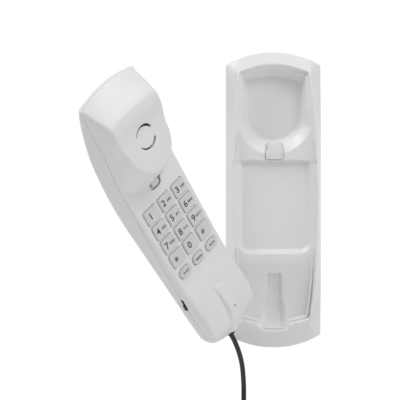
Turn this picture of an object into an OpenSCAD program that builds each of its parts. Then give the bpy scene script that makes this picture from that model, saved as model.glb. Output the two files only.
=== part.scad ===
// Slimline wall telephone: a wall base with a cradle, and a handset that holds the keypad.
// The base stands on the wall plane y = 0 with its front towards -Y and its top towards +Z.
// The handset has its own frame: x across the face, y from the earpiece into the body, z up.

/* [Wall base] */
// Width of the base
base_w = 66; // [62:1:72]
// Height of the base at its middle
base_h = 206; // [200:2:214]
// Depth from the wall to the crest of the side rails
rail_depth = 30; // [28:1:34]
// Clear width of the cradle between the side rails
cradle_w = 55; // [53:0.5:57]
// Thickness of the base's moulded wall
base_wall = 2.4; // [2:0.1:2.8]
// Distance between the two keyholes
keyhole_pitch = 83; // [76:1:90]

/* [Handset] */
// Width of the handset
handset_w = 49.2; // [47:0.2:51]
// Thickness of the handset's moulded wall
handset_wall = 2.2; // [1.8:0.1:2.4]
// Radius of the raised earpiece pod
pod_r = 21.5; // [21:0.5:23]
// How far the handset stands from the wall frame's origin when it is off the hook
lifted_place = [-83.3, -122, 37.7];
// Turn of the lifted handset about X, then Y, then Z
lifted_turn = [3.9, -38.1, 41.8];

/* [Keys] */
// Distance between key columns
key_pitch_x = 14.1; // [13.8:0.1:14.6]
// Distance between key rows
key_pitch_z = 11.5; // [11.3:0.1:12]
// Width of a digit key
key_w = 11.6; // [10:0.1:12]
// Height of a digit key
key_h = 9.6; // [8:0.1:9.8]
// How far a key stands proud of the face
key_proud = 1.2; // [0.8:0.1:1.6]
// Travel of a key
key_travel = 1; // [0.6:0.1:1]

/* [Cord] */
// Diameter of the straight cord
cord_d = 3.4; // [3:0.1:4]
// Outer diameter of the curled part of the cord
curl_d = 12.8; // [12:0.2:14]

/* [Hidden] */
DIGITS = ["1", "2", "3", "4", "5", "6", "7", "8", "9", "star", "0", "hash", "flash", "redial", "mute"];

WHITE = "#e8e8ea";
KEY_GREY = "#c4c6c9";
BLACK = "#1d1d1f";
GREEN = "#2f6b47";
GOLD = "#d0a64a";
STEEL = "#b9bcc0";
eps = 0.01;

// base levels, all measured from the wall towards the front
half_w = base_w / 2;
half_h = base_h / 2;
panel_y = -24;
recess_floor_y = -8;
recess_r = 24.5;
recess_z = 64;
pocket_depth = 3;
pocket_w = 44.5;
pocket_top = 26;
pocket_bottom = -34;
plate_t = 2.2;
screw_r = 1.2;
pilot_r = 1.3;
boss_r = 3.4;
base_boss_at = [[-19, 20], [19, 20], [-19, -46], [19, -46]];
line_jack_z = 2;
foot_at = [[-24, 78], [24, 78], [-24, -78], [24, -78]];

// handset levels
half_hand = handset_w / 2;
face_tilt = 3;
keypad_at = [0, 13.6, -73];
mat_y = 5.6;
board_y = 6.4;
board_t = 1.6;
handset_boss_at = [[0, 26, 7, 17], [-16, -130, 7, 19.5], [16, -130, 7, 19.5]];
mic_z = -136;
slot_z = [-121, -112];
slot_y = 16.8;
slit_r = 7.4;
slit_w = 1.3;
notch_w = 11;
notch_z = [-39, -29];
notch_floor_y = 18;
exit_at = [-3, 17, -160];

// cord route in the wall frame, from the grommet to the curled part and from it to the plug
LEAD_ROUTE = [[-31, -38, -89], [-27.5, -33.5, -96], [-24.5, -29, -104], [-22.5, -25.5, -112],
    [-21.5, -22.5, -120], [-21, -21, -129], [-21, -21, -138], [-21, -21, -146]];
curl_x = -21;
curl_y = -21;
curl_top = -146;
curl_bend_z = -236;
curl_bend_r = 8;
curl_end = -166;
TAIL_ROUTE = [[-5, -21, -166], [-5, -21, -158], [-3.5, -21, -151], [1, -21, -147.5], [6.5, -21, -148],
    [10, -21, -152], [11, -21, -159], [11, -21, -168], [11, -21, -178], [11, -21, -188]];

// a 2D shape drawn in x and z, extruded along y
module across(y0, y1) {
    translate([0, y1, 0]) rotate([90, 0, 0]) linear_extrude(y1 - y0) children();
}

// a 2D shape drawn in y and z, extruded along x
module along_x(x0, x1) {
    translate([x0, 0, 0]) rotate([90, 0, 90]) linear_extrude(x1 - x0) children();
}

module block(low, high) {
    translate(low) cube(high - low);
}

module rod_y(x, z, y0, y1, r) {
    translate([x, y1, z]) rotate([90, 0, 0]) cylinder(h = y1 - y0, r = r, $fn = 48);
}

module ring_y(x, z, y0, y1, r_out, r_in) {
    difference() {
        rod_y(x, z, y0, y1, r_out);
        rod_y(x, z, y0 - eps, y1 + eps, r_in);
    }
}

// points of a shallow bow from one end to the other, rising by h in the middle
function bow(a, b, h, n = 14) =
    [for (i = [0:n]) let (t = i / n) a + t * (b - a) + [0, 4 * h * t * (1 - t)]];

function shifted(points, dy) = [for (p = points) [p[0] + dy, p[1]]];
function backwards(points) = [for (i = [len(points) - 1:-1:0]) points[i]];

// the hollow's outline stops short of both ends, where the front and back walls meet
function inside_ends(points, t) = t == 0 ? points : [for (p = points) if (p[1] > -160 && p[1] < 40) p];

// ---------------- wall base ----------------

// y and z of the crest line of the base, bottom to top
function crest() = [[-11, -half_h - 1], [-12, -half_h + 1], [-18, -92], [-24, -72], [-rail_depth + 1, -40],
    [-rail_depth, 0], [-rail_depth + 1, 40], [-25, 70], [-20, 90], [-9, half_h - 1], [-8, half_h + 1]];

// y and z of the cradle panel, bottom to top
function panel() = [[-14.5, -92], [-15, -85], [-17, -65], [panel_y, -42], [panel_y, 40], [panel_y, 60]];

module base_outline(t = 0) {
    polygon(concat(
        bow([half_w - t, half_h - 9 - t], [-half_w + t, half_h - 9 - t], 9),
        bow([-half_w + t, -half_h + 9 + t], [half_w - t, -half_h + 9 + t], -9)));
}

module base_envelope() {
    rim = cradle_w / 2 + 2;
    intersection() {
        across(-rail_depth - 1, 0) base_outline();
        along_x(-half_w, half_w) polygon(concat([[0, -half_h - 1]], crest(), [[0, half_h + 1]]));
        translate([0, 0, -half_h]) linear_extrude(base_h)
            polygon([[-half_w, 0], [-half_w, -13], [-rim, -rail_depth], [rim, -rail_depth],
                [half_w, -13], [half_w, 0]]);
    }
}

module cradle_space() {
    half = cradle_w / 2;
    along_x(-half, half)
        polygon(concat([[-rail_depth - 2, -88]], [for (p = panel()) if (p[1] > -90) p], [[-rail_depth - 2, 60]]));
    // the head end narrows into the round recess
    across(-rail_depth - 2, recess_floor_y) intersection() {
        union() {
            translate([0, recess_z]) circle(r = recess_r, $fn = 64);
            translate([-recess_r, recess_z]) square([2 * recess_r, 40]);
        }
        translate([-half_w, 0]) square([base_w, 91]);
    }
    // sloping lead-in round the recess
    translate([0, panel_y + 4, recess_z]) rotate([90, 0, 0])
        cylinder(h = 10, r1 = recess_r, r2 = recess_r + 7, $fn = 64);
}

module pocket_space() {
    r = 5;
    across(panel_y - 2, panel_y + pocket_depth) union() {
        translate([-pocket_w / 2, pocket_bottom + r]) square([pocket_w, pocket_top - pocket_bottom - r]);
        translate([-pocket_w / 2 + r, pocket_bottom]) square([pocket_w - 2 * r, r + eps]);
        for (s = [-1, 1])
            translate([s * (pocket_w / 2 - r), pocket_bottom + r]) circle(r = r, $fn = 32);
    }
}

// groove that takes the ridge under the microphone
module channel_space() {
    intersection() {
        across(-30, -8) polygon([[-4.2, -51], [4.2, -51], [5.2, -89], [-5.2, -89]]);
        along_x(-8, 8) polygon([[-30, -51], [panel_y + 1, -51], [-15, -65], [-11, -85], [-11, -89], [-30, -89]]);
    }
}

// the space behind the panel, kept one wall behind every front surface
module base_hollow() {
    in_x = cradle_w / 2 - 0.5;
    in_w = half_w - base_wall;
    intersection() {
        across(-40, eps) base_outline(base_wall);
        union() {
            along_x(-in_x, in_x) polygon([[eps, -86], [-8, -86], [-12, -66], [panel_y + pocket_depth + base_wall, -46],
                [panel_y + pocket_depth + base_wall, 30], [eps, 30]]);
            along_x(-in_w, in_w) polygon([[eps, -half_h], [recess_floor_y + base_wall, -half_h],
                [recess_floor_y + base_wall, half_h - 3], [eps, half_h - 3]]);
        }
    }
}

module tab_seat(grow = 0) {
    block([-6 - grow, panel_y - 1, 27.4 - grow], [6 + grow, panel_y + 3, 38.4 + grow]);
}

module jack_seat(grow = 0) {
    block([-5.6 - grow, -10.6 - grow, -half_h - 1], [5.6 + grow, -plate_t + eps, -88 + grow]);
}

module base_shell() {
    color(WHITE) difference() {
        union() {
            difference() {
                base_envelope();
                cradle_space();
                pocket_space();
                channel_space();
                base_hollow();
            }
            for (p = base_boss_at) rod_y(p[0], p[1], panel_y + pocket_depth + 1, -plate_t, boss_r);
        }
        for (p = base_boss_at) rod_y(p[0], p[1], panel_y + pocket_depth + 4, 1, pilot_r);
        // seat and guide slot of the hanger tab
        tab_seat(0.15);
        block([-2.6, panel_y, 28.5], [2.6, panel_y + 8, 36]);
        jack_seat(0.1);
    }
}

module keyhole(z) {
    rod_y(0, z, -plate_t - 1, 1, 4.5);
    block([-2.1, -plate_t - 1, z], [2.1, 1, z + 9]);
}

module base_back_plate() {
    color(WHITE) difference() {
        intersection() {
            across(-plate_t, 0) base_outline(base_wall + 0.2);
            block([-half_w + base_wall + 0.2, -plate_t - 1, -half_h + 4], [half_w - base_wall - 0.2, 1, half_h - 4]);
        }
        keyhole(keyhole_pitch / 2);
        keyhole(-keyhole_pitch / 2);
        for (p = base_boss_at) {
            rod_y(p[0], p[1], -plate_t - 1, 1, 1.5);
            rod_y(p[0], p[1], -1, 1, 3);
        }
        block([-6.6, -plate_t - 1, line_jack_z - 6.6], [6.6, 1, line_jack_z + 6.6]);
        for (p = foot_at) rod_y(p[0], p[1], -0.8, 1, 4.1);
    }
}

module base_screws() {
    color(STEEL) for (p = base_boss_at) {
        rod_y(p[0], p[1], -12, -1, screw_r);
        rod_y(p[0], p[1], -1, -0.2, 2.7);
    }
}

module base_feet() {
    color(BLACK) for (p = foot_at) rod_y(p[0], p[1], -0.8, 0, 4);
}

module hanger_tab() {
    color(WHITE) union() {
        block([-6, panel_y - 0.6, 27.4], [6, panel_y + 1.6, 33]);
        block([-4.2, panel_y - 0.6, 33], [4.2, panel_y + 1.6, 38.4]);
        // raised side edges and the stem that slides in the shell
        for (s = [-1, 1]) block([s * 5.3 - 0.7, panel_y - 1.8, 27.4], [s * 5.3 + 0.7, panel_y - 0.6, 33]);
        block([-2.3, panel_y + 1.6, 29], [2.3, panel_y + 7, 33]);
    }
}

module line_jack() {
    color(BLACK) difference() {
        block([-6.4, -15, line_jack_z - 6.4], [6.4, 0, line_jack_z + 6.4]);
        block([-4.9, -12, line_jack_z - 3.4], [4.9, 1, line_jack_z + 3.6]);
    }
}

module jack_wires(n, pitch) {
    for (i = [0:n - 1]) translate([(i - (n - 1) / 2) * pitch, 0, 0]) children();
}

module line_jack_contacts() {
    color(GOLD) jack_wires(4, 1.1) block([-0.25, -12, line_jack_z - 3.4], [0.25, -3, line_jack_z - 2.9]);
}

module handset_jack() {
    color(BLACK) difference() {
        block([-5.6, -10.6, -101.2], [5.6, -plate_t, -88]);
        block([-3.9, -9.4, -103], [3.9, -3.4, -90]);
    }
}

module handset_jack_contacts() {
    color(GOLD) jack_wires(4, 1.1) block([-0.25, -3.9, -99], [0.25, -3.4, -90]);
}

module jack_board() {
    color(GREEN) block([-12, -16.6, -9], [12, -15, 14]);
}

// ---------------- handset ----------------

module lifted() {
    translate(lifted_place) rotate(lifted_turn) children();
}

module at_keypad() {
    translate(keypad_at) rotate([-face_tilt, 0, 0]) children();
}

// slant on the handset's long back edges, and where each stretch lies: z, y, slope in degrees
edge_cut = 4;
BACK_EDGES = [[-100, 28.9, 7.3], [-18, 35, -5.5], [7, 29.5, -19.6], [28, 20.7, -24.2]];

// y and z of the handset's front below the pod, bottom to top
function front_line() = [[12, -162], [9, -156], [6.6, -148], [5.4, -138], [7.2, -124], [10, -112],
    [12, -104], [15.3, -40], [15, -26], [11.2, 3], [11.2, 36], [13, 42]];

// y and z of the handset's back, bottom to top
function back_line() = [[18, -162], [22.5, -152], [27, -114], [31.6, -78], [35.4, -52], [36, -38],
    [35, -18], [32, 0], [27, 14], [22, 26], [17.5, 36], [14, 42]];

// y and z of the line where the two shells meet, bottom to top
function parting_line() = [[13, -162], [14.6, -140], [17.6, -113], [18, -58], [18, -26], [13.8, 3], [13, 32], [12.8, 42]];

module handset_outline(t = 0) {
    w = half_hand - t;
    polygon(concat(bow([w, 35 - t], [-w, 35 - t], 3.8), bow([-w, -150 + t], [w, -150 + t], -9)));
}

// the two long back edges are cut off at a slant, in three straight stretches
module back_edge_cuts(t) {
    c = edge_cut + t * sqrt(2);
    for (s = [-1, 1], e = BACK_EDGES)
        translate([s * half_hand, e[1], e[0]]) rotate([-e[2], 0, 0]) translate([0, 0, -70])
            linear_extrude(140) polygon([[4 * s, -c - 4], [4 * s, 4], [-(c + 4) * s, 4]]);
}

module handset_body(t = 0) {
    intersection() {
        union() {
            along_x(-half_hand + t, half_hand - t)
                polygon(concat(shifted(inside_ends(front_line(), t), t),
                    backwards(shifted(inside_ends(back_line(), t), -t))));
            intersection() {
                across(t, 17) union() {
                    translate([0, -3]) circle(r = pod_r - t, $fn = 64);
                    translate([-pod_r + t, -3]) square([2 * (pod_r - t), 20]);
                    translate([-half_hand + t, 4 + t]) square([2 * (half_hand - t), 40]);
                }
                along_x(-30, 30) polygon([[t, -40], [t, 18.5 - t], [15 + t, 39.5 - t], [40, 39.5 - t], [40, -40]]);
            }
        }
        difference() {
            across(-5, 45) handset_outline(t);
            back_edge_cuts(t);
        }
    }
}

module back_half(gap = 0) {
    along_x(-40, 40) polygon(concat(shifted(parting_line(), gap), [[60, 42], [60, -162]]));
}

// the ridge over the microphone that runs to the bottom edge
module mic_ridge() {
    intersection() {
        along_x(-6, 6) polygon([[13, -116], [3.6, -124], [1.6, -136], [3.4, -150], [8, -160], [14, -160], [14, -116]]);
        across(-5, 45) handset_outline();
    }
}

module notch_box(t = 0) {
    block([-notch_w / 2 - t, -1, notch_z[0] - t], [notch_w / 2 + t, notch_floor_y + t, notch_z[1] + t]);
}

module switch_slot() {
    block([-half_hand - 2, slot_y - 1.2, slot_z[0]], [-half_hand + 5, slot_y + 1.2, slot_z[1]]);
}

module at_key(column, row) {
    at_keypad() translate([(column - 1) * key_pitch_x, 0, (2 - row) * key_pitch_z]) children();
}

module key_plan(row, grow) {
    if (row < 4) square([key_w + 2 * grow, key_h + 2 * grow], center = true);
    else {
        r = 3.2 + grow;
        square([4.4, 2 * r], center = true);
        for (s = [-1, 1]) translate([s * 2.2, 0]) circle(r = r, $fn = 32);
    }
}

// one curved slit over the earpiece, from one bearing to another
module earpiece_slit(from, to) {
    across(-1, 4) intersection() {
        difference() {
            circle(r = slit_r + slit_w / 2, $fn = 64);
            circle(r = slit_r - slit_w / 2, $fn = 64);
        }
        polygon(concat([[0, 0]], [for (i = [0:4]) let (a = from + i * (to - from) / 4) 20 * [cos(a), sin(a)]]));
    }
}

module handset_front_shell() {
    color(WHITE) lifted() difference() {
        union() {
            difference() {
                union() {
                    handset_body();
                    mic_ridge();
                }
                handset_body(handset_wall);
                back_half();
            }
            intersection() {
                difference() {
                    notch_box(handset_wall);
                    block([-20, -2, -60], [20, 9, 0]);
                }
                handset_body();
            }
            for (b = handset_boss_at) rod_y(b[0], b[1], b[2], b[3], boss_r);
        }
        notch_box();
        block([-3.4, 10, -37], [3.4, 30, -31]);
        for (b = handset_boss_at) rod_y(b[0], b[1], b[2] + 3, b[3] + 1, pilot_r);
        for (i = [0:14]) at_key(i % 3, floor(i / 3)) across(-6, 6) key_plan(floor(i / 3), 0.3);
        earpiece_slit(23, 150);
        earpiece_slit(205, 330);
        rod_y(0, mic_z, -2, 12, 0.9);
        rod_y(0, mic_z, 5.4, 12.4, 6.1);
        switch_slot();
        translate(exit_at) translate([0, 0, -2]) cylinder(h = 12, r = 3, $fn = 32);
    }
}

module handset_back_shell() {
    color(WHITE) lifted() difference() {
        union() {
            intersection() {
                difference() {
                    handset_body();
                    handset_body(handset_wall);
                }
                back_half(0.1);
            }
            intersection() {
                union() {
                    for (b = handset_boss_at) ring_y(b[0], b[1], b[3] + 0.1, 40, boss_r, 1.5);
                    ring_y(0, -8, 26.6, 36, 13.6, 12.2);
                }
                handset_body(0.5);
            }
        }
        for (b = handset_boss_at) {
            rod_y(b[0], b[1], b[3] - 1, 45, 1.5);
            rod_y(b[0], b[1], b[3] + 2, 45, 3);
        }
        switch_slot();
        translate(exit_at) translate([0, 0, -2]) cylinder(h = 12, r = 3, $fn = 32);
    }
}

module key(i) {
    row = floor(i / 3);
    color(KEY_GREY) lifted() at_key(i % 3, row) {
        across(-key_proud, 2.7) key_plan(row, 0);
        across(2.6, 3.4) key_plan(row, 0.7);
    }
}

module keypad_mat() {
    color("#d9dadc") lifted() {
        at_keypad() block([-21, mat_y, -29], [21, board_y, 29]);
        for (i = [0:14]) at_key(i % 3, floor(i / 3)) rod_y(0, 0, 4.6, mat_y + eps, 3);
    }
}

board_screw_at = [[-17.5, -34], [17.5, -34], [12, 30.5]];

module main_board() {
    color(GREEN) lifted() at_keypad() difference() {
        block([-20.5, board_y, -45], [20.5, board_y + board_t, 33]);
        for (p = board_screw_at) rod_y(p[0], p[1], board_y - 1, board_y + 3, 1.4);
    }
}

// size and place of each component on the board: x, z, width, height, thickness
COMPONENTS = [[-8, 18, 12, 7, 2], [9, 16, 7, 7, 3.4], [-11, -2, 8, 14, 1.6], [6, 0, 14, 9, 2.4],
    [14, -16, 5, 9, 3.6], [-4, -18, 9, 6, 3], [6, -30, 7, 5, 2.6], [-10, -31, 6, 6, 2.8]];

module board_components() {
    color(BLACK) lifted() at_keypad() {
        for (c = COMPONENTS)
            block([c[0] - c[2] / 2, board_y + board_t, c[1] - c[3] / 2],
                [c[0] + c[2] / 2, board_y + board_t + c[4], c[1] + c[3] / 2]);
    }
}

module board_screws() {
    color(STEEL) lifted() at_keypad() for (p = board_screw_at) {
        rod_y(p[0], p[1], 4.6, board_y + board_t, screw_r);
        rod_y(p[0], p[1], board_y + board_t, board_y + board_t + 1, 2.4);
    }
}

module receiver_gasket() {
    color(BLACK) lifted() ring_y(0, 0, handset_wall, 3.2, 14, 11);
}

module receiver_capsule() {
    color(STEEL) lifted() union() {
        rod_y(0, 0, 3.2, 10, 15);
        rod_y(0, 0, 10, 14, 9);
    }
}

module microphone_boot() {
    color(BLACK) lifted() ring_y(0, mic_z, 5.5, 12, 6, 4.9);
}

module microphone_capsule() {
    color(STEEL) lifted() rod_y(0, mic_z, 5.6, 11.6, 4.8);
}

module ringer_disc() {
    color(GOLD) lifted() rod_y(0, -8, 27.2, 27.8, 12);
}

module ringer_switch_body() {
    color(BLACK) lifted() block([-half_hand + 3, 15.2, -122], [-half_hand + 7, 17.4, -111]);
}

module ringer_switch_knob() {
    color(BLACK) lifted() union() {
        block([-half_hand - 0.8, slot_y - 0.9, -120.6], [-half_hand + 2.4, slot_y + 0.9, -116.6]);
    }
}

module hook_switch_body() {
    color(BLACK) lifted() block([-5, 25, -38], [5, 31, -29]);
}

module hook_plunger() {
    color(WHITE) lifted() union() {
        block([-3, 14.5, -36.6], [3, 20.6, -31.4]);
        block([-4, 20.5, -37.4], [4, 21.6, -30.6]);
    }
}

module handset_screws() {
    color(STEEL) lifted() for (b = handset_boss_at) {
        rod_y(b[0], b[1], b[2] + 4, b[3] + 2, screw_r);
        rod_y(b[0], b[1], b[3] + 2, b[3] + 3, 2.6);
    }
}

module cord_grommet() {
    color(BLACK) lifted() translate(exit_at) difference() {
        translate([0, 0, -1]) cylinder(h = 10, r = 2.8, $fn = 32);
        translate([0, 0, -2]) cylinder(h = 12, r = cord_d / 2 + 0.05, $fn = 32);
    }
}

// ---------------- cord ----------------

function unit(v) = v / norm(v);
function heading(route, i) = unit(route[min(i + 1, len(route) - 1)] - route[max(i - 1, 0)]);

// a tube along a route, one ring of corners at each of its points
module tube(route, d, sides = 8) {
    n = len(route);
    rings = [for (i = [0:n - 1])
        let (t = heading(route, i), a = unit(cross(t, [0, 1, 0.02])), b = cross(t, a))
        for (k = [0:sides - 1]) route[i] + d / 2 * (cos(360 * k / sides) * a + sin(360 * k / sides) * b)];
    walls = [for (i = [0:n - 2]) for (k = [0:sides - 1])
        [i * sides + k, (i + 1) * sides + k, (i + 1) * sides + (k + 1) % sides, i * sides + (k + 1) % sides]];
    polyhedron(rings, concat([[for (k = [0:sides - 1]) k]], walls,
        [[for (k = [sides - 1:-1:0]) (n - 1) * sides + k]]));
}

module cord_lead() {
    color(BLACK) tube(LEAD_ROUTE, cord_d);
}

// the curled part, folded in two: its outer form only
module cord_curl() {
    other_x = curl_x + 2 * curl_bend_r;
    color(BLACK) union() {
        translate([curl_x, curl_y, curl_bend_z]) cylinder(h = curl_top - curl_bend_z, d = curl_d, $fn = 32);
        translate([other_x, curl_y, curl_bend_z]) cylinder(h = curl_end - curl_bend_z, d = curl_d, $fn = 32);
        translate([curl_x + curl_bend_r, curl_y, curl_bend_z]) rotate([-90, 0, 0])
            rotate_extrude(angle = 180, $fn = 48) translate([curl_bend_r, 0]) circle(d = curl_d, $fn = 32);
    }
}

module stadium(r) {
    translate([-curl_bend_r, -r]) square([2 * curl_bend_r, 2 * r]);
    for (s = [-1, 1]) translate([s * curl_bend_r, 0]) circle(r = r, $fn = 48);
}

module cord_tie() {
    color(BLACK) translate([curl_x + curl_bend_r, curl_y, -204]) linear_extrude(7) difference() {
        stadium(curl_d / 2 + 1.3);
        stadium(curl_d / 2 + 0.05);
    }
}

module cord_tail() {
    color(BLACK) tube(TAIL_ROUTE, cord_d);
}

module cord_plug() {
    end = TAIL_ROUTE[len(TAIL_ROUTE) - 1];
    color("#dfe5ea") translate(end) union() {
        block([-3.8, -3.2, -12], [3.8, 3.2, 0]);
        block([-1.6, 3.2, -11], [1.6, 4.4, -2]);
    }
}

module plug_contacts() {
    end = TAIL_ROUTE[len(TAIL_ROUTE) - 1];
    color(GOLD) translate(end) jack_wires(4, 1.1) block([-0.25, -3.5, -12], [0.25, -3.2, -8]);
}

base_shell();
base_back_plate();
base_screws();
base_feet();
hanger_tab();
line_jack();
line_jack_contacts();
handset_jack();
handset_jack_contacts();
jack_board();
handset_front_shell();
handset_back_shell();
keypad_mat();
main_board();
board_components();
board_screws();
receiver_gasket();
receiver_capsule();
microphone_boot();
microphone_capsule();
ringer_disc();
ringer_switch_body();
ringer_switch_knob();
hook_switch_body();
hook_plunger();
handset_screws();
cord_grommet();
cord_lead();
cord_curl();
cord_tie();
cord_tail();
cord_plug();
plug_contacts();
for (i = [0:14]) key(i);
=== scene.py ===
"""Slimline wall telephone: smooth moulded shells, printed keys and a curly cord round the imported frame."""
import math

import bmesh
import bpy
import numpy as np
from bpy.props import FloatProperty, FloatVectorProperty, PointerProperty
from mathutils import Euler, Matrix, Vector


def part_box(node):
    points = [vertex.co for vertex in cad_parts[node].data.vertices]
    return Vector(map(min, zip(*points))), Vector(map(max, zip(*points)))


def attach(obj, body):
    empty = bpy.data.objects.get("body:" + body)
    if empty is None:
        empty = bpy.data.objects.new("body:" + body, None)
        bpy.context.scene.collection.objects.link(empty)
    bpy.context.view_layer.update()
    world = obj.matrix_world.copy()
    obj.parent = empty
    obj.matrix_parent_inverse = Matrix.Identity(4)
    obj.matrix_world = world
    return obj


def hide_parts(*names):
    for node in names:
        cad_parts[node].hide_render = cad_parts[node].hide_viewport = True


bl_info = {
    "name": "Slimline Wall Telephone",
    "version": (1, 0, 0),
    "blender": (4, 5, 0),
    "location": "View3D > Sidebar > Telephone",
    "description": "Builds the shells, keys, cord and fasteners of a slimline wall telephone",
    "category": "Add Mesh",
}

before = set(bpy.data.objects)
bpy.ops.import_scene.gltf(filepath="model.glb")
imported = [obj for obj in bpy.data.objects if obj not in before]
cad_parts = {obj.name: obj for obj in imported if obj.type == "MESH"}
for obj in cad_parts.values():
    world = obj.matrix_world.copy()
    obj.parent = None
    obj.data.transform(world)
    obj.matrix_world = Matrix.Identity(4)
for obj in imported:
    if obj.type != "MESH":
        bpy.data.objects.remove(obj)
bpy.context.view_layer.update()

MM = 0.001
UNMOVED = Matrix.Identity(4)
HANDSET = Matrix.Translation(Vector((-83.3, -122, 37.7)) * MM) @ Euler(
    [math.radians(a) for a in (3.9, -38.1, 41.8)]).to_matrix().to_4x4()
KEYPAD = Matrix.Translation(Vector((0, 13.6, -73)) * MM) @ Matrix.Rotation(math.radians(-3), 4, "X")
PITCH_X, PITCH_Z = 14.1, 11.5
COLUMNS, DIGIT_ROWS = 3, 4
# name, large print and small print of each key, in rows from the top
KEYS = [("1", "1", ""), ("2", "2", "ABC"), ("3", "3", "DEF"), ("4", "4", "GHI"), ("5", "5", "JKL"),
        ("6", "6", "MNO"), ("7", "7", "PQRS"), ("8", "8", "TUV"), ("9", "9", "WXYZ"), ("star", "*", ""),
        ("0", "0", ""), ("hash", "#", ""), ("flash", "FLASH", ""), ("redial", "REDIAL", ""),
        ("mute", "MUTE", "")]


# ---- settings

class TelephoneSettings(bpy.types.PropertyGroup):
    """Sizes and colours that a user would change"""
    shell_colour: FloatVectorProperty(
        name="Shell colour", description="Colour of the moulded shells, linear", subtype="COLOR",
        size=3, min=0, max=1, default=(0.80, 0.80, 0.81))
    key_colour: FloatVectorProperty(
        name="Key colour", description="Colour of the key caps, linear", subtype="COLOR",
        size=3, min=0, max=1, default=(0.66, 0.67, 0.68))
    key_corner: FloatProperty(
        name="Key corner", description="Corner radius of a digit key", subtype="DISTANCE",
        default=0.0011, min=0.0003, max=0.003)
    cord_diameter: FloatProperty(
        name="Cord diameter", description="Diameter of the cord", subtype="DISTANCE",
        default=0.0034, min=0.003, max=0.004)
    curl_pitch: FloatProperty(
        name="Curl pitch", description="Distance between two turns of the curled cord", subtype="DISTANCE",
        default=0.0039, min=0.0035, max=0.006)


def settings():
    """The telephone's settings in this scene"""
    return bpy.context.scene.telephone


# ---- materials

DRIFT_MM = 40


def linear(hex_colour):
    """An sRGB hex colour as linear red, green, blue and alpha"""
    parts = [int(hex_colour[i:i + 2], 16) / 255 for i in (1, 3, 5)]
    return [c / 12.92 if c <= 0.04045 else ((c + 0.055) / 1.055) ** 2.4 for c in parts] + [1.0]


def add_node(tree, kind, values=(), links=(), **attributes):
    """Adds a node, sets its attributes and socket values, and links (socket, source output) pairs"""
    node = tree.nodes.new(kind)
    for name, value in attributes.items():
        setattr(node, name, value)
    for socket, value in dict(values).items():
        node.inputs[socket].default_value = value
    for socket, source in dict(links).items():
        tree.links.new(source, node.inputs[socket])
    return node


def material(name, colour, roughness, metallic=0.0, ior=1.5, grain_mm=0.25, grain=0.05, tint=0.03,
             transmission=0.0):
    """A moulded or machined surface: fine surface grain in the bump, slight drift in colour"""
    if name in bpy.data.materials:
        return bpy.data.materials[name]
    made = bpy.data.materials.new(name)
    made.use_nodes = True
    tree = made.node_tree
    tree.nodes.clear()
    place = add_node(tree, "ShaderNodeTexCoord")
    fine = add_node(tree, "ShaderNodeTexNoise",
                    {"Scale": 1000 / grain_mm, "Detail": 2.0, "Roughness": 0.5},
                    {"Vector": place.outputs["Object"]})
    broad = add_node(tree, "ShaderNodeTexNoise", {"Scale": 1000 / DRIFT_MM, "Detail": 2.0},
                     {"Vector": place.outputs["Object"]})
    ramp = add_node(tree, "ShaderNodeValToRGB", links={"Fac": broad.outputs["Fac"]})
    ramp.color_ramp.elements[0].position = 0.3
    ramp.color_ramp.elements[1].position = 0.7
    for element, gain in zip(ramp.color_ramp.elements, (1 - tint, 1 + tint)):
        element.color = [min(1.0, c * gain) for c in colour[:3]] + [1.0]
    rough = add_node(tree, "ShaderNodeMapRange",
                     {"From Min": 0.3, "From Max": 0.7, "To Min": roughness * 0.92,
                      "To Max": min(1.0, roughness * 1.08)}, {"Value": fine.outputs["Fac"]})
    bump = add_node(tree, "ShaderNodeBump", {"Strength": grain, "Distance": 0.0001},
                    {"Height": fine.outputs["Fac"]})
    shader = add_node(tree, "ShaderNodeBsdfPrincipled",
                      {"Metallic": metallic, "IOR": ior, "Transmission Weight": transmission},
                      {"Base Color": ramp.outputs["Color"], "Roughness": rough.outputs["Result"],
                       "Normal": bump.outputs["Normal"]})
    add_node(tree, "ShaderNodeOutputMaterial", links={"Surface": shader.outputs["BSDF"]})
    return made


def shell_abs():
    """White ABS, moulded: satin with a very fine spark-eroded grain that softens highlights"""
    return material("white_moulded_abs", settings().shell_colour, 0.38, grain_mm=0.35, tint=0.012)


def key_abs():
    """Grey ABS key caps, moulded: a touch smoother than the shells, from fingers"""
    return material("grey_moulded_abs_keys", settings().key_colour, 0.34, grain_mm=0.3, grain=0.04,
                    tint=0.02)


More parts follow.
